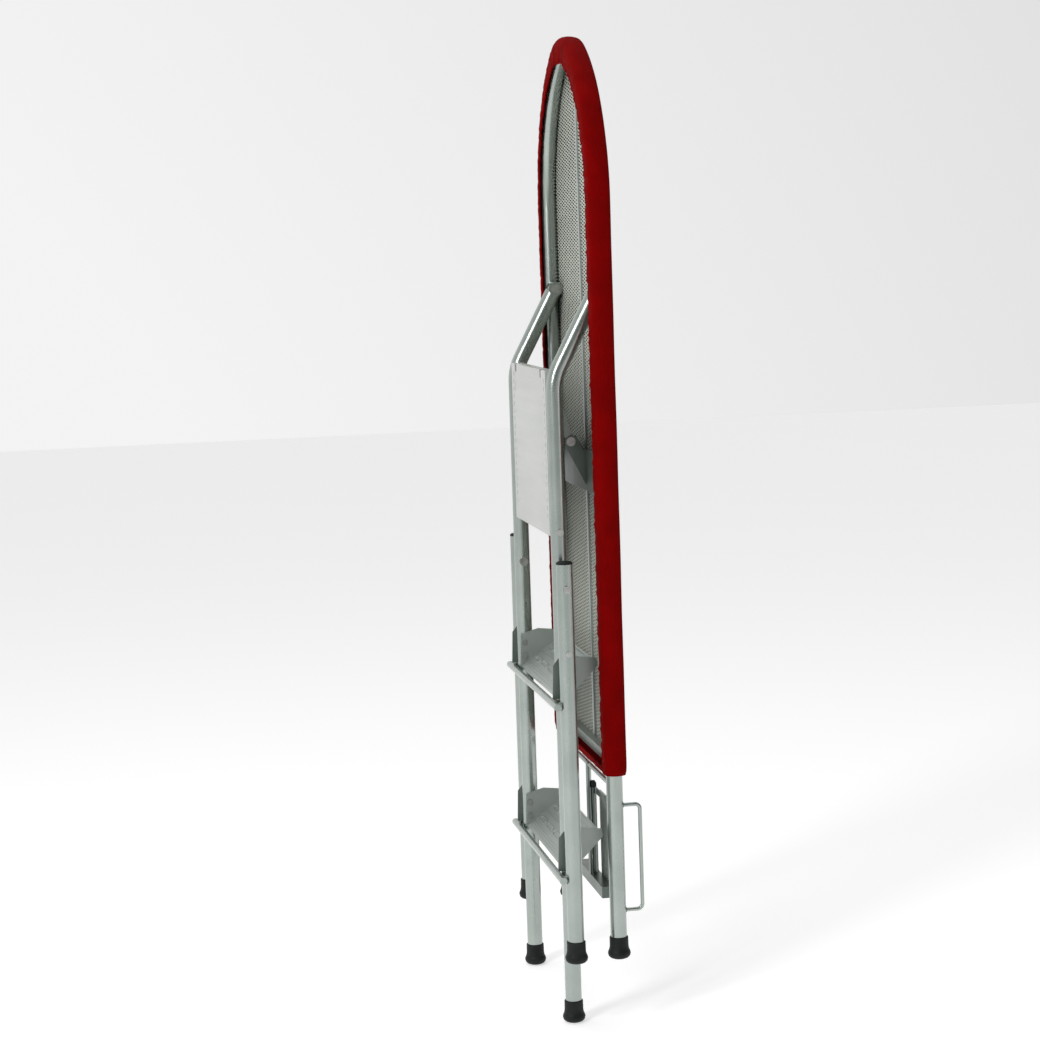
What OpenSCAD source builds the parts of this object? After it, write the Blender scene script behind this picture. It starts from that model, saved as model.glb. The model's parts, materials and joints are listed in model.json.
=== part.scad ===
// Folding ironing board and three-step ladder, shown folded and standing upright.
// Units are millimetres. +Z is up, +X is the side of the padded face, Y is across the width.

/* [Ladder frame] */
// outside diameter of every main tube
tube_d = 25; // [20:0.5:32]
// wall thickness of the tubes
tube_wall = 1.5; // [1:0.1:3]
// spacing of the two ladder stiles, centre to centre
ladder_w = 320; // [280:1:360]
// height where the stiles bend towards the board
bend_z = 988.7; // [900:0.1:1050]
// radius of that bend
bend_r = 80; // [50:1:120]

/* [Board] */
// spacing of the two board rails, centre to centre
board_w = 375; // [340:1:420]
// distance of the board rails from the ladder stiles
board_x = 68; // [60:1:90]
// height of the board pivot
pivot_z = 1116; // [1050:1:1180]
// height where the rails start to curve in
shoulder_z = 1249; // [1180:1:1300]
// radius of the long side curve of the rails
side_r = 255; // [220:1:600]
// radius of the nose curve of the rails
nose_r = 102; // [60:1:140]
// thickness of the mesh top
mesh_t = 1; // [0.8:0.1:3]
// thickness of the pad
pad_t = 3.5; // [2:0.5:12]
// thickness of the cover cloth
cover_t = 1.2; // [0.8:0.1:3]
// height of the square end of the cover
cover_z = 387; // [360:1:440]

/* [Treads and platform] */
// height of the front edge of the lower tread
tread_z = 239; // [200:1:300]
// rise from one step to the next
step_rise = 266; // [220:1:300]
// slope of the treads when the ladder is folded
tread_tilt = 35; // [25:1:45]
// depth of a tread
tread_depth = 80; // [60:1:110]
// thickness of the sheet steel
sheet_t = 2; // [1:0.1:3]
// height of the platform hinge
hinge_z = 758; // [700:1:800]
// height of the top edge of the folded platform
platform_top = 1000; // [950:1:1010]

/* [Prop frame] */
// spacing of the two prop stiles, centre to centre
prop_w = 390; // [380:1:430]
// height of the prop pivot
prop_z = 676; // [640:1:700]
// height of the top of the prop stiles
prop_top = 717; // [700:1:720]
// height of the feet of the prop and board legs
leg_z = 102; // [80:1:130]

/* [Fittings] */
// radius of the pivot pins
pin_r = 4; // [3:0.1:6]
// running clearance of the pins
fit = 0.05; // [0.02:0.01:0.1]
// diameter of the rubber feet
foot_d = 35; // [30:1:40]
// height of the rubber feet
foot_h = 34; // [24:1:44]
// offset of the link straps from the middle
link_y = 106; // [90:1:120]
// diameter of the wire hoops
wire_d = 6; // [4:0.5:8]

/* [Hidden] */
$fn = 64;
tr = tube_d / 2;
lw = ladder_w / 2;
bw = board_w / 2;
pw = prop_w / 2;
bend_a = atan2(board_x, pivot_z - bend_z);
bend_t = bend_r * tan(bend_a / 2);
slant = norm([board_x, pivot_z - bend_z]);
nose_dz = sqrt(pow(side_r - nose_r, 2) - pow(side_r - bw, 2));
nose_z = shoulder_z + nose_dz;
nose_a = atan2(nose_dz, side_r - bw);
mesh_x = board_x + tr;
pad_x = mesh_x + mesh_t;
face_x = pad_x + pad_t;
cover_back = 53;
plate_x = -10;
link_x = 33;
link_z = 889;
link_top = [2, 986.6];
link_a = atan2(link_x - link_top[0], link_top[1] - link_z);
link_len = norm([link_x - link_top[0], link_top[1] - link_z]);
rod_r = 5.5;
rod_x = -tr - 0.4 - rod_r;
spacer_z = 578;
hoop_out = 26;
row_x = -(rod_x - rod_r + mesh_x + hoop_out + wire_d / 2) / 2;
steel = [0.68, 0.72, 0.70];
dark = [0.32, 0.36, 0.34];
rubber = [0.05, 0.05, 0.05];
zinc = [0.80, 0.80, 0.78];
red = [0.42, 0.02, 0.03];

// One piece in its colour, moved so that the whole object stands centred on the origin.
module placed(c) {
  translate([row_x, 0, 0]) color(c) children();
}

// A shape and its mirror image across the middle plane.
module both() {
  children();
  mirror([0, 1, 0]) children();
}

// A cylinder along Y from y0 to y1.
module along_y(x, z, y0, y1, r) {
  translate([x, y0, z]) rotate([-90, 0, 0]) cylinder(h = y1 - y0, r = r);
}

// A vertical tube.
module tube(x, y, z0, z1) {
  translate([x, y, z0]) difference() {
    cylinder(h = z1 - z0, r = tr);
    translate([0, 0, -1]) cylinder(h = z1 - z0 + 2, r = tr - tube_wall);
  }
}

// The section of a tube wall, at a distance from the axis of a bend.
module ring(r) {
  translate([r, 0]) difference() {
    circle(r = tr);
    circle(r = tr - tube_wall);
  }
}

// A flat shape drawn in the XZ plane, given thickness along Y from y0.
module sheet_xz(y0, t, pts) {
  translate([0, y0 + t, 0]) rotate([90, 0, 0]) linear_extrude(height = t) polygon(pts);
}

// The outline of the board in its own plane, grown by e; the first axis is Y and the second is Z.
module outline(e, z0) {
  tan_z = shoulder_z + side_r * sin(nose_a);
  translate([-bw - e, z0]) square([2 * (bw + e), shoulder_z - z0]);
  intersection() {
    translate([-(side_r - bw), shoulder_z]) circle(r = side_r + e, $fn = 128);
    translate([side_r - bw, shoulder_z]) circle(r = side_r + e, $fn = 128);
    translate([-bw - e - 1, shoulder_z - 1]) square([2 * (bw + e + 1), tan_z - shoulder_z + 1]);
  }
  translate([0, nose_z]) circle(r = nose_r + e, $fn = 128);
}

// The board outline as a slab between two X positions.
module slab(x0, x1, e, z0) {
  translate([x0, 0, 0]) rotate([90, 0, 90]) linear_extrude(height = x1 - x0) outline(e, z0);
}

// One ladder stile: straight, a bend and a short slanting top with a pivot eye.
module stile() {
  placed(steel) difference() {
    union() {
      tube(0, lw, 6, bend_z - bend_t);
      translate([bend_r, lw, bend_z - bend_t]) mirror([1, 0, 0]) rotate([90, 0, 0])
        rotate_extrude(angle = bend_a, $fn = 96) ring(bend_r);
      translate([0, lw, bend_z]) rotate([0, bend_a, 0]) tube(0, 0, bend_t, slant - 6);
      along_y(board_x, pivot_z, lw - tr, lw + tr, tr - 1.1);
    }
    along_y(board_x, pivot_z, lw - 20, lw + 20, pin_r);
    along_y(0, prop_z, lw - 20, lw + 20, pin_r);
    along_y(0, hinge_z, lw - 20, lw + 20, pin_r);
    for (i = [0:1]) tread_holes(tread_z + i * step_rise);
  }
}

// Rivet positions that fix one tread to a stile.
module tread_holes(z) {
  for (dz = [16, 38]) along_y(-4, z + dz, lw - 20, lw + 20, 2.5);
}

module stile_right() {
  mirror([0, 1, 0]) stile();
}

module stile_left() {
  stile();
}

// A sheet steel tread with turned edges and upright ears at both ends.
module tread(z) {
  half = lw - tr - sheet_t;
  placed(steel) {
    translate([-9, 0, z]) rotate([0, -tread_tilt, 0]) {
      translate([0, -half, -sheet_t]) cube([tread_depth, 2 * half, sheet_t]);
      translate([0, -half, -15]) cube([sheet_t, 2 * half, 15]);
      translate([tread_depth - sheet_t, -half, -sheet_t]) cube([sheet_t, 2 * half, 11]);
    }
    both() difference() {
      sheet_xz(half, sheet_t, [[-11, z - 1], [-9, z + 52], [20, z + 60], [55, z + 56],
        [tread_depth * cos(tread_tilt) - 9, tread_depth * sin(tread_tilt) + z - 2], [2, z - 12]]);
      tread_holes(z);
    }
  }
}

module tread_lower() {
  tread(tread_z);
}

module tread_upper() {
  tread(tread_z + step_rise);
}

// Outer plates that clamp each tread to the stiles.
module tread_side_plates() {
  placed(dark) both() for (i = [0:1]) {
    z = tread_z + i * step_rise;
    difference() {
      sheet_xz(lw + tr, 1.5, [[-20, z + 1], [-18, z + 52], [-10, z + 62], [10, z + 62], [11, z + 1]]);
      tread_holes(z);
    }
  }
}

module tread_rivets() {
  placed(zinc) both() for (i = [0:1]) for (dz = [16, 38]) {
    z = tread_z + i * step_rise + dz;
    along_y(-4, z, lw - tr - 2, lw + tr + 1.5, 2.5);
    along_y(-4, z, lw - tr - 4, lw - tr - 2, 4.5);
    along_y(-4, z, lw + tr + 1.5, lw + tr + 3.5, 4.5);
  }
}

// A rubber ferrule over the end of a tube; it stands on z.
module foot(x, y, z) {
  translate([x, y, z]) rotate_extrude() polygon([[0, 0], [foot_d / 2 - 7, 0],
    [foot_d / 2 - 3.5, 1.5], [foot_d / 2 - 1, 4], [foot_d / 2, 8], [foot_d / 2 - 0.6, 11],
    [foot_d / 2 - 2.2, 14.5], [tr + 2, 19], [tr + 1.8, foot_h - 1], [tr + 1, foot_h], [tr, foot_h],
    [tr, 6], [0, 6]]);
}

module ladder_feet() {
  placed(rubber) both() foot(0, lw, 0);
}

module board_pins() {
  placed(zinc) both() {
    along_y(board_x, pivot_z, lw - tr - 1, bw + tr - 0.5, pin_r);
    along_y(board_x, pivot_z, lw - tr - 4, lw - tr - 0.2, 7);
  }
}

module pivot_washers() {
  placed(zinc) both() difference() {
    along_y(board_x, pivot_z, lw + tr, bw - tr - 0.4, 8);
    along_y(board_x, pivot_z, lw, bw, pin_r);
  }
}

module prop_pins() {
  placed(zinc) both() {
    along_y(0, prop_z, lw - tr - 1, pw + tr + 1, pin_r);
    along_y(0, prop_z, lw - tr - 4, lw - tr - 0.2, 7);
    along_y(0, prop_z, pw + tr + 0.4, pw + tr + 3, 5.5);
  }
}

module prop_bushes() {
  placed(rubber) both() difference() {
    along_y(0, prop_z, lw + tr, pw - tr - 0.4, 8);
    along_y(0, prop_z, lw, pw, pin_r);
  }
}

module platform_pins() {
  placed(zinc) both() {
    along_y(0, hinge_z, lw - tr - 9, lw + tr + 1, pin_r);
    along_y(0, hinge_z, lw + tr + 0.2, lw + tr + 2.6, 5);
    along_y(0, hinge_z, lw - tr - 11, lw - tr - 8.2, 6.5);
  }
}

module platform_bushes() {
  placed(rubber) both() difference() {
    along_y(0, hinge_z, lw - tr - 5.2, lw - tr, 8);
    along_y(0, hinge_z, lw - tr - 6, lw, pin_r);
  }
}

// The folding top step: a sheet with turned sides and a turned rear lip.
module platform() {
  half = lw - tr - 5.6;
  placed(steel) difference() {
    union() {
      translate([plate_x, -half, hinge_z - 8]) cube([sheet_t, 2 * half, platform_top - hinge_z + 8]);
      translate([plate_x, -half, platform_top - sheet_t]) cube([15, 2 * half, sheet_t]);
      both() {
        translate([plate_x, half - sheet_t, hinge_z]) cube([20, sheet_t, platform_top - hinge_z]);
        along_y(0, hinge_z, half - sheet_t, half, 10);
      }
    }
    both() {
      along_y(0, hinge_z, half - 5, half + 5, pin_r + fit);
      translate([plate_x - 1, link_y - 7, hinge_z + 196]) cube([20, 14, platform_top - hinge_z]);
    }
    for (i = [0:17]) translate([plate_x - 1, -1.5, hinge_z + 18 + i * 12]) both()
      translate([0, half - 16, 0]) cube([sheet_t + 2, 3, 7]);
  }
}

// Straps that ride on the bracket of the board, one on each side.
module link_straps() {
  placed(steel) both() translate([link_x, link_y - 1.5, link_z]) rotate([0, -link_a, 0]) difference() {
    union() {
      along_y(0, 0, 0, 3, 8);
      along_y(0, link_len, 0, 3, 7);
      translate([-6, 0, 0]) cube([12, 3, link_len]);
    }
    along_y(0, 0, -1, 4, pin_r + fit);
    along_y(0, link_len, -1, 4, 3);
  }
}

module link_pins() {
  placed(zinc) both() {
    along_y(link_x, link_z, link_y - 4, link_y + 4, pin_r);
    along_y(link_x, link_z, link_y - 4, link_y - 2, 7);
    along_y(link_x, link_z, link_y + 4, link_y + 6, 7);
  }
}

// One straight board rail with its leg.
module rail() {
  placed(dark) difference() {
    tube(board_x, bw, leg_z + 6, shoulder_z);
    along_y(board_x, pivot_z, bw - 20, bw + 20, pin_r + fit);
  }
}

module rail_right() {
  mirror([0, 1, 0]) rail();
}

module rail_left() {
  rail();
}

// The curved tube that joins the two rails around the nose.
module nose_bow() {
  placed(dark) {
    both() translate([board_x, -(side_r - bw), shoulder_z]) rotate([90, 0, 90])
      rotate_extrude(angle = nose_a, $fn = 128) ring(side_r);
    translate([board_x, 0, nose_z]) rotate([90, 0, 90]) rotate([0, 0, nose_a])
      rotate_extrude(angle = 180 - 2 * nose_a, $fn = 128) ring(nose_r);
  }
}

module mesh_top() {
  placed(steel) slab(mesh_x, pad_x, 6, cover_z + 8);
}

module centre_rib() {
  placed(steel) translate([mesh_x - 3, -6, cover_z + 25]) cube([3, 12, nose_z + 55 - cover_z - 25]);
}

// Rails as solid rods, to shape the ends of the pieces that are welded between them.
module rail_cores() {
  both() translate([board_x, bw, leg_z]) cylinder(h = shoulder_z - leg_z, r = tr);
}

module end_member() {
  placed(steel) difference() {
    translate([mesh_x - 14, -bw, cover_z + 9]) cube([14, 2 * bw, 15]);
    translate([mesh_x - 12.5, -bw - 1, cover_z + 10.5]) cube([11, 2 * bw + 2, 12]);
    rail_cores();
  }
}

module end_rod() {
  placed(steel) difference() {
    along_y(board_x, cover_z - 21, -bw, bw, 4);
    rail_cores();
  }
}

// The channel across the board that carries the link straps.
module link_bracket() {
  half = bw - tr;
  placed(dark) difference() {
    union() {
      translate([54, -half, 814]) cube([sheet_t, 2 * half, 60]);
      both() {
        translate([54, half - sheet_t, 814]) cube([20, sheet_t, 60]);
        sheet_xz(link_y + 2, sheet_t, [[55, 820], [55, 872], [link_x + 9, link_z + 8], [link_x, link_z + 10],
          [link_x - 9, link_z + 3], [link_x - 7, link_z - 9]]);
      }
    }
    both() along_y(link_x, link_z, link_y - 5, link_y + 8, pin_r);
    both() for (z = [826, 862]) along_y(board_x, z, half - 5, half + 5, 2.5);
  }
}

module bracket_rivets() {
  placed(zinc) both() for (z = [826, 862]) {
    along_y(board_x, z, bw - tr - 4, bw - tr - 2, 4.5);
    along_y(board_x, z, bw - tr - 2, bw - tr, 2.5);
  }
}

module pad() {
  placed([0.8, 0.78, 0.7]) slab(pad_x, face_x, tr + 1, cover_z + 8);
}

// The fitted cloth cover: a shallow bag that wraps around the rails.
module cover() {
  placed(red) difference() {
    slab(cover_back, face_x + cover_t, tr + 1 + cover_t, cover_z);
    slab(cover_back + cover_t, face_x, tr + 1, cover_z - 5);
    slab(cover_back - 1, cover_back + cover_t + 1, -7, cover_z - 5);
  }
}

module cover_hem() {
  placed(red) difference() {
    slab(cover_back - 1.5, cover_back, -4, cover_z);
    slab(cover_back - 3, cover_back + 1, -7, cover_z - 5);
  }
}

// The plates that hold a hot iron at the square end.
module iron_rest() {
  placed(steel) {
    translate([64, -92, 170]) cube([18, 184, 18]);
    both() difference() {
      translate([80, 16, 188]) cube([2, 46, 138]);
      for (i = [0:3]) translate([79, 21 + i * 10, 204]) cube([4, 5, 50]);
    }
    translate([78, -62, 316]) cube([2, 124, 10]);
  }
}

module iron_rest_post() {
  placed(dark) {
    translate([73, 0, 188]) cylinder(h = 140, r = 3.5);
    difference() {
      translate([64, -7, 188]) cube([3, 14, 182]);
      along_y(board_x, cover_z - 21, -bw, bw, 4);
    }
  }
}

module iron_rest_cap() {
  placed(rubber) translate([73, 0, 328]) {
    cylinder(h = 6, r = 6);
    translate([0, 0, 6]) cylinder(h = 4, r1 = 6, r2 = 3.5);
  }
}

// A wire handle on the outer side of one board leg.
module hoop() {
  x0 = mesh_x - 1;
  x1 = mesh_x + hoop_out;
  r = 8;
  placed(steel) difference() {
    translate([0, bw, 0]) {
      for (z = [176, 339]) translate([x0, 0, z]) rotate([0, 90, 0]) cylinder(h = x1 - r - x0, r = wire_d / 2);
      translate([x1, 0, 176 + r]) cylinder(h = 163 - 2 * r, r = wire_d / 2);
      translate([x1 - r, 0, 176 + r]) rotate([90, 0, 0]) rotate_extrude(angle = -90)
        translate([r, 0]) circle(r = wire_d / 2);
      translate([x1 - r, 0, 339 - r]) rotate([90, 0, 0]) rotate_extrude(angle = 90)
        translate([r, 0]) circle(r = wire_d / 2);
    }
    rail_cores();
  }
}

module hoop_right() {
  mirror([0, 1, 0]) hoop();
}

module hoop_left() {
  hoop();
}

module board_feet() {
  placed(rubber) both() foot(board_x, bw, leg_z);
}

module prop() {
  placed(steel) difference() {
    tube(0, pw, leg_z + 6, prop_top - 4);
    along_y(0, prop_z, pw - 20, pw + 20, pin_r + fit);
    along_y(0, spacer_z, pw - 20, pw + 20, 3);
  }
}

module prop_right() {
  mirror([0, 1, 0]) prop();
}

module prop_left() {
  prop();
}

// Front rods that tie the prop stiles together, with a welded boss at each end.
module prop_rods() {
  placed(steel) difference() {
    for (z = [tread_z - 7, tread_z + step_rise - 7]) {
      along_y(rod_x, z, -pw - 9, pw + 9, rod_r);
      both() translate([rod_x, pw, z]) rotate([0, 90, 0]) cylinder(h = 7, r = 6.5);
    }
    both() translate([0, pw, leg_z]) cylinder(h = prop_top - leg_z, r = tr);
  }
}

module prop_plugs() {
  placed(rubber) both() translate([0, pw, prop_top - 4]) {
    cylinder(h = 2.5, r = tr);
    translate([0, 0, 2.5]) cylinder(h = 1.5, r1 = tr, r2 = tr - 2);
    translate([0, 0, -12]) cylinder(h = 12, r = tr - tube_wall);
  }
}

module prop_feet() {
  placed(rubber) both() foot(0, pw, leg_z);
}

// Buttons that keep the prop stiles centred on the ladder stiles.
module prop_spacers() {
  placed(zinc) both() {
    along_y(0, spacer_z, pw - tr - 8, pw + tr + 1, 3);
    along_y(0, spacer_z, pw - tr - 9, pw - tr - 0.2, 6);
    along_y(0, spacer_z, pw + tr + 0.2, pw + tr + 2, 4.5);
  }
}

stile_right();
stile_left();
tread_lower();
tread_upper();
tread_side_plates();
tread_rivets();
ladder_feet();
board_pins();
pivot_washers();
prop_pins();
prop_bushes();
platform_pins();
platform_bushes();
platform();
link_straps();
link_pins();
rail_right();
rail_left();
nose_bow();
mesh_top();
centre_rib();
end_member();
end_rod();
link_bracket();
bracket_rivets();
pad();
cover();
cover_hem();
iron_rest();
iron_rest_post();
iron_rest_cap();
hoop_right();
hoop_left();
board_feet();
prop_right();
prop_left();
prop_rods();
prop_plugs();
prop_feet();
prop_spacers();
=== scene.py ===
import json
import math
import random

import bmesh
import bpy
import numpy as np
from mathutils import Matrix, Vector


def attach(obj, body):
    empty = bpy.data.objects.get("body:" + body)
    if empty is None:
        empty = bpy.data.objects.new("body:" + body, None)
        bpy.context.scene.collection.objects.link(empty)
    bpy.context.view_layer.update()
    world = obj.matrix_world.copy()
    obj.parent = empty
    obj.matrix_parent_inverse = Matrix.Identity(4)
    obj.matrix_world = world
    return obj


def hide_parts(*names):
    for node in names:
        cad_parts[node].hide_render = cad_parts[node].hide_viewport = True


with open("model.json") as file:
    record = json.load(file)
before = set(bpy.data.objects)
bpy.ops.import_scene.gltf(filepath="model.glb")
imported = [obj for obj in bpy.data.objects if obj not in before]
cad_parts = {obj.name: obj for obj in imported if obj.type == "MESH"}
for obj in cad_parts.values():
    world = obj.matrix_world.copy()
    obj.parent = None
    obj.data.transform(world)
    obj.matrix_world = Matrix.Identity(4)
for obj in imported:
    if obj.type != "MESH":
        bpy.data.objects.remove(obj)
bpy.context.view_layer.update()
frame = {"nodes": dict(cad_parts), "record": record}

# Lengths are in millimetres, in the coordinates the part was drawn in. CENTRE_X moves them onto the frame.
MM = 0.001
CENTRE_X = -42.8

# The board: two straight rails, a wide arc on each side above the shoulder, and a tighter nose.
HALF_W = 187.5
SHOULDER = 1249.0
SIDE_R = 255.0
NOSE_R = 102.0
SIDE_INSET = SIDE_R - HALF_W
NOSE_DZ = math.sqrt((SIDE_R - NOSE_R) ** 2 - SIDE_INSET ** 2)
NOSE_A = math.atan2(NOSE_DZ, SIDE_INSET)
RAIL_X = 68.0
END_Z = 387.0


# ---------------------------------------------------------------- materials
class Paint:
    """A node material whose parts are added one at a time."""

    def __init__(self, name, **inputs):
        self.mat = bpy.data.materials.new(name)
        self.mat.use_nodes = True
        self.tree = self.mat.node_tree
        self.shader = self.tree.nodes["Principled BSDF"]
        for key, value in inputs.items():
            self.shader.inputs[key.replace("_", " ")].default_value = value
        self.coords = self.tree.nodes.new("ShaderNodeTexCoord").outputs["Object"]
        self.last_bump = None

    def link(self, a, b):
        self.tree.links.new(a, b)

    def stretch(self, scale):
        node = self.tree.nodes.new("ShaderNodeMapping")
        node.inputs["Scale"].default_value = scale
        self.link(self.coords, node.inputs["Vector"])
        return node.outputs["Vector"]

    def noise(self, scale, detail, stretch=(1, 1, 1)):
        node = self.tree.nodes.new("ShaderNodeTexNoise")
        node.inputs["Scale"].default_value = scale
        node.inputs["Detail"].default_value = detail
        self.link(self.stretch(stretch), node.inputs["Vector"])
        return node.outputs["Fac"]

    def wave(self, scale, axis, distortion):
        node = self.tree.nodes.new("ShaderNodeTexWave")
        node.bands_direction = axis
        node.inputs["Scale"].default_value = scale
        node.inputs["Distortion"].default_value = distortion
        self.link(self.coords, node.inputs["Vector"])
        return node.outputs["Fac"]

    def tint(self, value, low, high):
        """Base colour from low to high over the middle of a pattern's range."""
        node = self.tree.nodes.new("ShaderNodeValToRGB")
        for end, place, colour in zip(node.color_ramp.elements, (0.3, 0.7), (low, high)):
            end.position = place
            end.color = (*colour, 1)
        self.link(value, node.inputs["Fac"])
        self.link(node.outputs["Color"], self.shader.inputs["Base Color"])

    def rough(self, value, low, high):
        node = self.tree.nodes.new("ShaderNodeMapRange")
        node.inputs["To Min"].default_value = low
        node.inputs["To Max"].default_value = high
        self.link(value, node.inputs["Value"])
        self.link(node.outputs["Result"], self.shader.inputs["Roughness"])

    def bump(self, value, strength, distance):
        """Relief, laid over any relief added before it."""
        node = self.tree.nodes.new("ShaderNodeBump")
        node.inputs["Strength"].default_value = strength
        node.inputs["Distance"].default_value = distance
        self.link(value, node.inputs["Height"])
        if self.last_bump:
            self.link(self.last_bump, node.inputs["Normal"])
        self.last_bump = node.outputs["Normal"]
        self.link(self.last_bump, self.shader.inputs["Normal"])


def powder_coat(name, low, high, metallic, roughness):
    """Sprayed paint with a fine orange peel and faint handling marks."""
    p = Paint(name, Metallic=metallic, Coat_Weight=0.25, Coat_Roughness=0.25)
    p.tint(p.noise(18, 5), low, high)
    p.rough(p.noise(60, 4, (1, 1, 0.2)), roughness - 0.08, roughness + 0.10)
    p.bump(p.noise(900, 2), 0.03, 0.0002)
    return p.mat


def rolled_steel(name, low, high, metallic):
    """Painted sheet with long faint roller lines."""
    p = Paint(name, Metallic=metallic, Coat_Weight=0.15)
    p.tint(p.noise(12, 5, (1, 0.3, 1)), low, high)
    p.rough(p.noise(40, 5, (1, 0.1, 1)), 0.32, 0.50)
    p.bump(p.noise(700, 2), 0.10, 0.0003)
    return p.mat


def plated(name):
    """Dull zinc, slightly mottled."""
    p = Paint(name, Metallic=1.0)
    p.tint(p.noise(120, 4), (0.40, 0.40, 0.39), (0.58, 0.58, 0.56))
    p.rough(p.noise(400, 3), 0.22, 0.42)
    p.bump(p.noise(1200, 2), 0.15, 0.0002)
    return p.mat


def moulded(name):
    """Black rubber with a fine moulded grain."""
    p = Paint(name, Specular_IOR_Level=0.25)
    p.tint(p.noise(50, 4), (0.003, 0.005, 0.004), (0.010, 0.014, 0.012))
    p.rough(p.noise(200, 3), 0.45, 0.70)
    p.bump(p.noise(1500, 3), 0.25, 0.0003)
    return p.mat


def woven(name, low, high, threads):
    """Plain weave cloth with uneven dye."""
    p = Paint(name, Specular_IOR_Level=0.04)
    p.tint(p.noise(26, 6), low, high)
    p.rough(p.noise(90, 3), 0.78, 0.92)
    for axis in ("Y", "Z"):
        p.bump(p.wave(threads, axis, 0.4), 0.35, 0.0004)
    p.bump(p.noise(500, 4), 0.25, 0.0004)
    return p.mat


GREY = powder_coat("silver_paint", (0.34, 0.385, 0.36), (0.40, 0.445, 0.415), 0.95, 0.27)
# A darker copy of the silver tube paint: its darkness is painted shade, for parts that sit in shadow.
SHADED_GREY = powder_coat("tube_paint_painted_shade", (0.13, 0.16, 0.145), (0.18, 0.21, 0.19), 0.75, 0.36)
SHEET = rolled_steel("sheet_paint", (0.32, 0.355, 0.33), (0.40, 0.435, 0.41), 0.55)
ZINC = plated("zinc_plate")
RUBBER = moulded("black_rubber")
RED = woven("red_cotton", (0.150, 0.0, 0.0), (0.200, 0.0, 0.0002), 420)
FELT = woven("felt", (0.045, 0.055, 0.050), (0.070, 0.080, 0.072), 150)
WIRE = rolled_steel("mesh_paint", (0.52, 0.54, 0.48), (0.62, 0.64, 0.57), 0.25)
PLATE = rolled_steel("step_paint", (0.46, 0.47, 0.45), (0.54, 0.55, 0.53), 0.25)

SLOT_LOOKS = {
    "grey_paint": GREY, "rubber": RUBBER, "zinc": ZINC, "cloth": RED, "felt": FELT,
}
NODE_LOOKS = {
    "platform": PLATE,
    **dict.fromkeys(("tread_lower", "tread_upper", "link_straps", "centre_rib", "end_member"), SHEET),
    # the side plates, link bracket and iron rest take the darker copy of the tube paint as painted shade
    **dict.fromkeys(("tread_side_plates", "link_bracket", "iron_rest_post", "iron_rest"), SHADED_GREY),
}

for part in frame["record"]["subparts"]:
    mesh = frame["nodes"][part["node"]].data
    mesh.materials.clear()
    mesh.materials.append(NODE_LOOKS.get(part["node"], SLOT_LOOKS[part["material_slot"]]))


# ---------------------------------------------------------------- geometry helpers
def add_mesh(name, verts, faces, mat, body, smooth=True):
    """A mesh from points in drawing coordinates, riding on a CAD body."""
    mesh = bpy.data.meshes.new(name)
    mesh.from_pydata([((x + CENTRE_X) * MM, y * MM, z * MM) for x, y, z in verts], [], faces)
    mesh.validate()
    for poly in mesh.polygons:
        poly.use_smooth = smooth
    mesh.materials.append(mat)
    obj = bpy.data.objects.new(name, mesh)
    bpy.context.collection.objects.link(obj)
    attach(obj, body)
    return obj


def thicken(obj, name, thickness):
    """Give a surface its sheet thickness, half to each side."""
    skin = obj.modifiers.new(name, "SOLIDIFY")
    skin.thickness = thickness * MM
    skin.offset = 0.0


def grid_faces(rows, cols, closed=False):
    """Faces over rows of points, with the last column joined to the first when closed."""
    faces = []
    for i in range(rows - 1):
        for j in range(cols if closed else cols - 1):
            a, b = i * cols + j, i * cols + (j + 1) % cols
            faces.append((a, b, b + cols, a + cols))
    return faces


def tube_along(points, radius, sides=8, ring=False):
    """Points and faces of a round wire along a path."""
    pts = [Vector(p) for p in points]
    n, verts = len(pts), []
    for i, p in enumerate(pts):
        ahead = pts[(i + 1) % n] if ring else pts[min(i + 1, n - 1)]
        behind = pts[i - 1] if ring else pts[max(i - 1, 0)]
        t = (ahead - behind).normalized()
        off_axis = Vector((0.13, 0.21, 0.97)) if abs(t.z) < 0.9 else Vector((1, 0, 0))
        side = t.cross(off_axis).normalized()
        up = side.cross(t)
        for k in range(sides):
            a = 2 * math.pi * k / sides
            verts.append(p + radius * (math.cos(a) * side + math.sin(a) * up))
    faces = grid_faces(n, sides, closed=True)
    last = (n - 1) * sides
    if ring:
        faces += [(last + k, last + (k + 1) % sides, (k + 1) % sides, k) for k in range(sides)]
    else:
        faces += [tuple(range(sides))[::-1], tuple(range(last, last + sides))]
    return verts, faces


def merge(parts):
    """Several (verts, faces) as one."""
    verts, faces = [], []
    for v, f in parts:
        base = len(verts)
        verts += list(v)
        faces += [tuple(base + k for k in face) for face in f]
    return verts, faces


def rail_path():
    """(y, z, ny, nz) along the right half of the board's centre line, from the square end to the nose."""
    out = [(HALF_W, z, 1.0, 0.0) for z in np.linspace(END_Z, SHOULDER, 150)]
    for a in np.linspace(0, NOSE_A, 60)[1:]:
        ny, nz = math.cos(a), math.sin(a)
        out.append((SIDE_R * ny - SIDE_INSET, SHOULDER + SIDE_R * nz, ny, nz))
    for a in np.linspace(NOSE_A, math.pi / 2, 44)[1:]:
        ny, nz = math.cos(a), math.sin(a)
        out.append((NOSE_R * ny, SHOULDER + NOSE_DZ + NOSE_R * nz, ny, nz))
    return out


PATH = rail_path()
STEP = [0.0]
for (ya, za, _, _), (yb, zb, _, _) in zip(PATH, PATH[1:]):
    STEP.append(STEP[-1] + math.hypot(yb - ya, zb - za))


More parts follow.
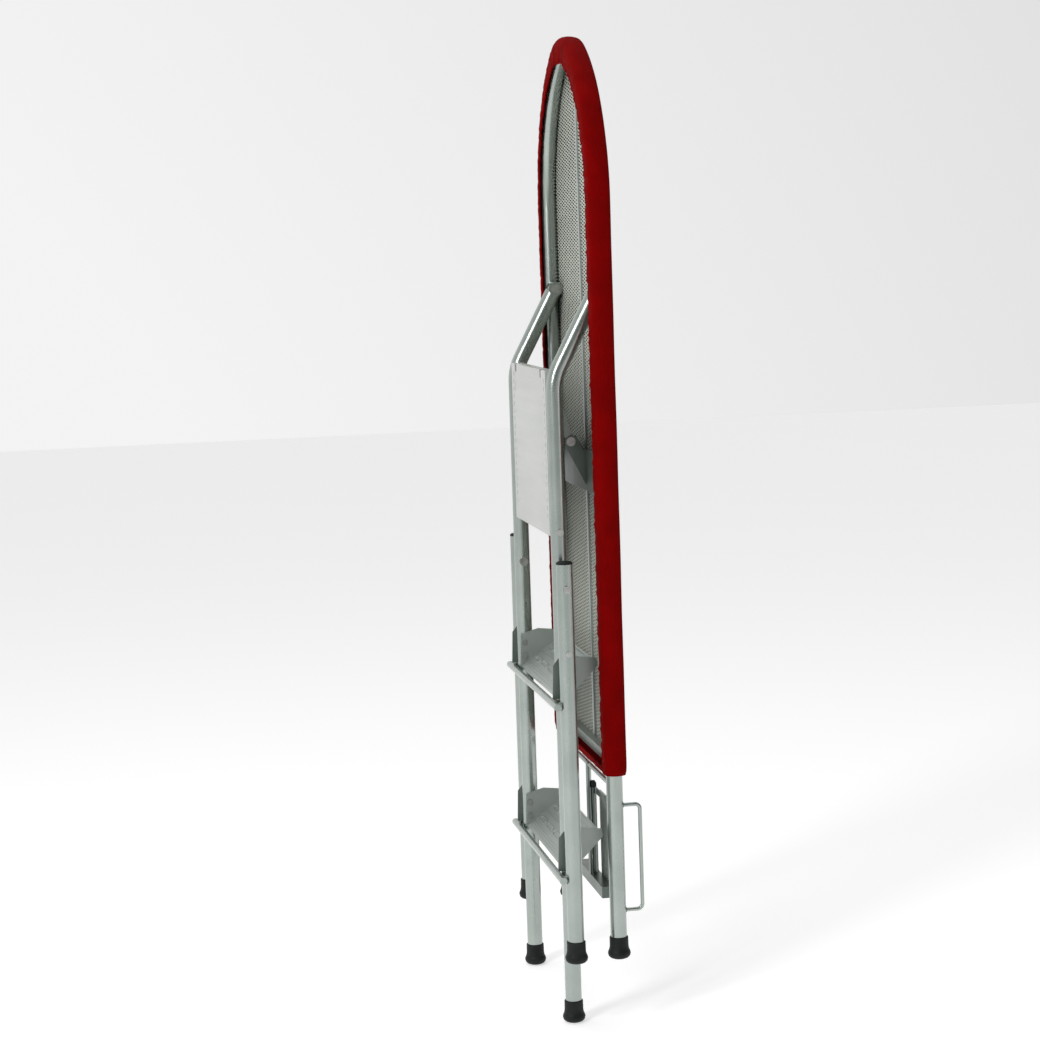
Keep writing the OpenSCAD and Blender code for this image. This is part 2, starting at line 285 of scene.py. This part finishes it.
# ---------------------------------------------------------------- cover
# The rim's section, as (distance out from the rail's centre line, x), from the hem to the padded face.
RIM_MID_X = 69.0
WALL_OUT, WALL_BULGE, WALL_REACH = 14.1, 2.0, 11.5
HEM = [(-7.0, 52.4), (-4.5, 51.7), (-1.0, 51.5), (3.0, 51.7),
       (7.0, 52.3), (10.0, 53.4), (12.4, 55.2), (13.8, 57.8)]
WALL = [(WALL_OUT + WALL_BULGE * (1 - ((x - RIM_MID_X) / WALL_REACH) ** 2), x)
        for x in (60.5, 63.5, 66.5, 69.5, 72.5, 75.5, 78.0)]
BROW = [(14.1, 80.6), (13.0, 82.8), (10.8, 84.8), (7.5, 86.0), (3.0, 86.3)]
EDGE = HEM + WALL + BROW
FACE_COLS = 46
CLOTH_T = 0.8

# How far the cloth strays from that section.
GATHER = 0.9
SWAY = 0.9
PULL = 1.3
CREASE, CREASE_Z = 0.7, 1335.0
END_TUCK = 2.0
NOSE_TUCK = (17.0, 11.0, 5.0)


def folds(s, side, seed):
    """An uneven row of small gathers along the hem, up to 1.5 either way."""
    random.seed(seed)
    total = 0.0
    for wave_length, weight in ((13.0, 0.5), (19.5, 0.35), (31.0, 0.35), (74.0, 0.3)):
        phase = random.uniform(0, 6.28) + side * 1.7
        total += weight * math.sin(6.283 * s / wave_length + phase + 0.8 * math.sin(s / 57.0 + phase))
    return total


def edge_point(i, k, side):
    """One point of the cover's rim: row i along the path, k from the hem round to the padded face."""
    y, z, ny, nz = PATH[i]
    e, x = EDGE[k]
    s = STEP[i]
    tucked_in = k < len(NOSE_TUCK)
    gather = GATHER * folds(s, side, 5) * max(0.0, 1.0 - k / (len(HEM) + 2.0))
    sway = math.sin(s / 41.0 + side) * math.sin(s / 96.0 + 2.0 * side + 0.5)
    pull = math.sin((z - END_Z) / 13.0 + x / 9.0) * math.exp(-(z - END_Z) / 55.0)
    crease = math.sin(s / 8.0 + x / 5.0) * math.exp(-((z - CREASE_Z) / 60.0) ** 2)
    at_end = math.exp(-(z - END_Z) / 5.0)
    x += gather + 0.25 * sway + 0.10 * at_end * (RIM_MID_X - x)
    e += gather * (1.0 if tucked_in else 0.35)
    e += (SWAY * sway + PULL * pull + CREASE * crease) * math.sin(math.pi * k / (len(EDGE) - 1))
    if e > 5:
        e -= END_TUCK * at_end
    if tucked_in:
        e -= NOSE_TUCK[k] * nz ** 4
    return (x, side * (y + e * ny), z + e * nz)


verts = []
for i in range(len(PATH)):
    left = [edge_point(i, k, -1) for k in range(len(EDGE))]
    right = [edge_point(i, k, 1) for k in range(len(EDGE))]
    verts += left
    for c in range(1, FACE_COLS):
        t = c / FACE_COLS
        x, y, z = (left[-1][a] * (1 - t) + right[-1][a] * t for a in range(3))
        soft = math.sin(y / 47.0 + 1.3 * math.sin(z / 130.0)) * math.sin(z / 83.0 + 0.6 * math.sin(y / 60.0))
        verts.append((x + 0.35 * soft * math.sin(math.pi * t) + 0.15, y, z))
    verts += right[::-1]
faces = grid_faces(len(PATH), 2 * len(EDGE) + FACE_COLS - 1)
cover = add_mesh("cover_cloth", verts, faces, RED, "board")
clean = bmesh.new()
clean.from_mesh(cover.data)
bmesh.ops.remove_doubles(clean, verts=clean.verts, dist=0.00002)
bmesh.ops.recalc_face_normals(clean, faces=clean.faces)
clean.to_mesh(cover.data)
clean.free()
thicken(cover, "cloth_thickness", CLOTH_T)
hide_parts("cover", "cover_hem")

# the drawn-in elastic along the hem, up one side and down the other
rows = range(len(PATH))
hem = [edge_point(i, 0, -1) for i in rows] + [edge_point(i, 0, 1) for i in rows[-2::-1]]
verts, faces = tube_along(hem, 1.5)
add_mesh("hem_elastic", verts, faces, RED, "board")

# the turned-in strip of cloth that closes the square end between the legs, as (x, z) from face to hem
END_PROFILE = [(86.0, 387.0), (84.0, 386.2), (80.0, 386.0), (74.0, 386.2), (67.0, 386.0), (60.0, 386.4),
               (56.0, 386.8), (54.0, 388.2), (53.2, 390.6), (53.2, 394.0), (53.5, 398.0)]
END_HALF_W = 174.0
END_COLS = 120
verts = []
for c in range(END_COLS + 1):
    y = -END_HALF_W + 2 * END_HALF_W * c / END_COLS
    gather = folds(y + 300, 0, 11)
    for k, (x, z) in enumerate(END_PROFILE):
        w = k / (len(END_PROFILE) - 1)
        verts.append((x + 0.8 * gather * w, y, z + 1.0 * gather * w * w))
faces = grid_faces(END_COLS + 1, len(END_PROFILE))
thicken(add_mesh("cover_end", verts, faces, RED, "board"), "cloth_thickness", CLOTH_T)

# ---------------------------------------------------------------- felt pad
PAD_X = 83.4
PAD_OUT = 7.0
PAD_SHORT = 9.0
PAD_COLS = 13


def pad_height(z, nz):
    """The pad follows the rail out round the nose, and stops short of the cover at the square end."""
    if z > SHOULDER:
        return z + PAD_OUT * nz
    return z + PAD_SHORT * (1 - (z - END_Z) / (SHOULDER - END_Z))


verts = []
for y, z, ny, nz in PATH:
    for t in np.linspace(-1, 1, PAD_COLS):
        verts.append((PAD_X, t * (y + PAD_OUT * ny), pad_height(z, nz)))
felt = add_mesh("felt_pad", verts, grid_faces(len(PATH), PAD_COLS), FELT, "board")
thicken(felt, "felt_thickness", 3.0)
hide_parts("pad")


# ---------------------------------------------------------------- mesh top
STRAND_HALF_W = 0.85
STRAND_T = 0.75
STRAND_PITCH = 5.4
STRAND_ANGLE = math.radians(14)
STRAND_REACH = 1250
LATTICE_OUT = 5.5
LATTICE_LOW, LATTICE_HIGH = END_Z + 9, 1492
BOX_FACES = [(0, 1, 2, 3), (7, 6, 5, 4), (0, 4, 5, 1), (1, 5, 6, 2), (2, 6, 7, 3), (3, 7, 4, 0)]


def half_width(z, e):
    """Half the board's width at height z, for the outline grown by e."""
    if z <= SHOULDER:
        return HALF_W + e
    if z < SHOULDER + (SIDE_R + e) * math.sin(NOSE_A):
        return math.sqrt(max(0.0, (SIDE_R + e) ** 2 - (z - SHOULDER) ** 2)) - SIDE_INSET
    return math.sqrt(max(0.0, (NOSE_R + e) ** 2 - (z - SHOULDER - NOSE_DZ) ** 2))


def on_lattice(point):
    """Whether a (y, z) point lies on the mesh top."""
    y, z = point
    return LATTICE_LOW < z < LATTICE_HIGH and abs(y) < half_width(z, LATTICE_OUT)


def strands(angle, x0):
    """Flat strands of expanded metal that cross the board at one angle."""
    direction = np.array([math.cos(angle), math.sin(angle)])
    across = np.array([-direction[1], direction[0]])
    middle = np.array([0.0, 930.0])
    w = across * STRAND_HALF_W
    parts = []
    for n in range(-160, 161):
        foot = middle + across * n * STRAND_PITCH
        inside = [t for t in np.arange(-STRAND_REACH, STRAND_REACH, 3.0) if on_lattice(foot + direction * t)]
        if len(inside) < 3:
            continue
        a, b = foot + direction * inside[0], foot + direction * inside[-1]
        corners = [a - w, a + w, b + w, b - w]
        pts = [(x, *c) for x in (x0, x0 + STRAND_T) for c in corners]
        parts.append((pts, BOX_FACES))
    return parts


verts, faces = merge(strands(STRAND_ANGLE, 79.7) + strands(-STRAND_ANGLE, 80.5))
lattice = add_mesh("mesh_lattice", verts, faces, WIRE, "board", smooth=False)
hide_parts("mesh_top")


# ---------------------------------------------------------------- tread pressings
TREAD_TILT = math.radians(35)
TREAD_FRONT_X = -9
OVAL_PITCH, OVAL_R, OVAL_HALF_STRAIGHT = 54, 4.0, 15
OVAL_ROWS = (26, 54)
RIB_ROWS = (5, 9, 13, 40, 70)


def tread_details(z0, name):
    """Pressed ovals on the step and long ribs along it."""
    along = Vector((math.cos(TREAD_TILT), 0, math.sin(TREAD_TILT)))
    normal = Vector((-math.sin(TREAD_TILT), 0, math.cos(TREAD_TILT)))
    origin = Vector((TREAD_FRONT_X, 0, z0))
    parts = []
    for u in OVAL_ROWS:
        for i in range(-2, 3):
            rim = []
            for k in range(28):
                a = 2 * math.pi * k / 28
                end = OVAL_HALF_STRAIGHT if math.cos(a) > 0 else -OVAL_HALF_STRAIGHT
                y = i * OVAL_PITCH + OVAL_R * math.cos(a) + end
                rim.append(origin + along * (u + OVAL_R * math.sin(a)) + normal * 0.2 + Vector((0, y, 0)))
            parts.append(tube_along(rim, 1.1, 6, ring=True))
    for u in RIB_ROWS:
        line = [origin + along * u + normal * 0.1 + Vector((0, y, 0)) for y in (-140, -138, 138, 140)]
        parts.append(tube_along(line, 0.7, 6))
    verts, faces = merge(parts)
    add_mesh(name, verts, faces, SHEET, "ladder")


tread_details(239, "tread_lower_pressing")
tread_details(505, "tread_upper_pressing")


# ---------------------------------------------------------------- platform ribs
PLATE_X = -10.0
RIBS_LOW, RIBS_HIGH, RIB_PITCH, FIRST_RIB = 772, 988, 24, 784
RIB_FADE = 6
RIB_SECTION = [(-112, 0.0), (-109, 0.6), (-105, 1.0), (105, 1.0), (109, 0.6), (112, 0.0)]

verts = []
rib_heights = np.linspace(RIBS_LOW, RIBS_HIGH, 145)
for z in rib_heights:
    swell = 0.5 + 0.5 * math.cos(2 * math.pi * (z - FIRST_RIB) / RIB_PITCH)
    fade = min(1.0, (z - RIBS_LOW) / RIB_FADE, (RIBS_HIGH - z) / RIB_FADE)
    for y, w in RIB_SECTION:
        verts.append((PLATE_X + 0.3 - (0.4 + 1.3 * swell) * w * fade, y, z))
faces = grid_faces(len(rib_heights), len(RIB_SECTION))
add_mesh("platform_ribs", verts, faces, PLATE, "platform")


# ---------------------------------------------------------------- welds
def weld(centre, axis, radius, bead, seed):
    """A slightly uneven ring of weld."""
    random.seed(seed)
    axis = Vector(axis)
    a = axis.orthogonal().normalized()
    b = axis.cross(a)
    ring = []
    for k in range(30):
        t = 2 * math.pi * k / 30
        r = radius + random.uniform(-0.15, 0.15)
        ring.append(Vector(centre) + r * (math.cos(t) * a + math.sin(t) * b))
    return tube_along(ring, bead, 6, ring=True)


parts = []
for side in (-1, 1):
    for z in (176, 339):
        parts.append(weld((80.7, side * HALF_W, z), (1, 0, 0), 3.4, 0.9, z))
    parts.append(weld((RAIL_X, side * 175.4, 366), (0, 1, 0), 4.4, 0.9, 3))
verts, faces = merge(parts)
add_mesh("board_welds", verts, faces, GREY, "board")

parts = []
for side in (-1, 1):
    for z in (232, 498):
        parts.append(weld((-12.4, side * 195, z), (1, 0, 0), 6.7, 0.8, z))
verts, faces = merge(parts)
add_mesh("prop_welds", verts, faces, GREY, "prop")


# ---------------------------------------------------------------- floor and world, in metres
FLOOR_HALF = 12
FLOOR_Z = -0.0005


def add_floor(mat):
    """A square floor just under the feet."""
    mesh = bpy.data.meshes.new("floor")
    corners = [(-FLOOR_HALF, -FLOOR_HALF, 0), (FLOOR_HALF, -FLOOR_HALF, 0),
               (FLOOR_HALF, FLOOR_HALF, 0), (-FLOOR_HALF, FLOOR_HALF, 0)]
    mesh.from_pydata(corners, [], [(0, 1, 2, 3)])
    mesh.materials.append(mat)
    obj = bpy.data.objects.new("floor", mesh)
    obj.location = (0, 0, FLOOR_Z)
    bpy.context.collection.objects.link(obj)


ground = Paint("studio_floor", Base_Color=(0.68, 0.68, 0.68, 1), Roughness=0.8,
               Emission_Color=(1, 1, 1, 1), Emission_Strength=0.54)
add_floor(ground.mat)

# grey that brightens towards the back, the left and the ground
world = bpy.data.worlds.new("studio")
world.use_nodes = True
sky = world.node_tree
direction = sky.nodes.new("ShaderNodeTexCoord")
along = sky.nodes.new("ShaderNodeVectorMath")
along.operation = "DOT_PRODUCT"
along.inputs[1].default_value = (-0.55, 0.95, -0.4)
shade = sky.nodes.new("ShaderNodeMapRange")
for socket, level in (("From Min", -0.7), ("From Max", 0.95), ("To Min", 0.16), ("To Max", 0.90)):
    shade.inputs[socket].default_value = level
sky.links.new(direction.outputs["Generated"], along.inputs[0])
sky.links.new(along.outputs["Value"], shade.inputs["Value"])
sky.links.new(shade.outputs["Result"], sky.nodes["Background"].inputs["Color"])
bpy.context.scene.world = world


# ---------------------------------------------------------------- lamps, in metres
def lamp(name, place, target, size, power):
    """A rectangular soft light, (width, height), turned towards its target."""
    light = bpy.data.lights.new(name, "AREA")
    light.shape = "RECTANGLE"
    light.size, light.size_y = size
    light.energy = power
    obj = bpy.data.objects.new(name, light)
    obj.location = place
    obj.rotation_euler = (Vector(target) - Vector(place)).to_track_quat("-Z", "Y").to_euler()
    bpy.context.collection.objects.link(obj)


lamp("key", (-2.6, -2.4, 2.8), (0, 0, 0.8), (0.7, 2.6), 84)
lamp("fill", (2.6, -2.6, 1.8), (0, 0, 0.8), (0.4, 2.6), 10)
lamp("top", (0, 0.4, 3.6), (0, 0, 0.6), (2.2, 2.2), 26)

# ---------------------------------------------------------------- camera, in millimetres
CAMERA_AT = (-708.5, -3802.9, 1193.2)
YAW, PITCH, ROLL = (math.radians(a) for a in (10.117, -6.388, -1.938))

ahead = Vector((math.sin(YAW) * math.cos(PITCH), math.cos(YAW) * math.cos(PITCH), math.sin(PITCH)))
level_right = ahead.cross(Vector((0, 0, 1))).normalized()
level_up = level_right.cross(ahead)
right = level_right * math.cos(ROLL) + level_up * math.sin(ROLL)
up = level_up * math.cos(ROLL) - level_right * math.sin(ROLL)
lens = bpy.data.cameras.new("camera")
lens.lens = 85.95
lens.sensor_width = 36
lens.clip_start, lens.clip_end = 0.1, 60
camera = bpy.data.objects.new("camera", lens)
place = (Vector(CAMERA_AT) + Vector((CENTRE_X, 0, 0))) * MM
camera.matrix_world = Matrix.Translation(place) @ Matrix((right, up, -ahead)).transposed().to_4x4()
bpy.context.collection.objects.link(camera)
bpy.context.scene.camera = camera
bpy.context.scene.view_settings.view_transform = "Standard"
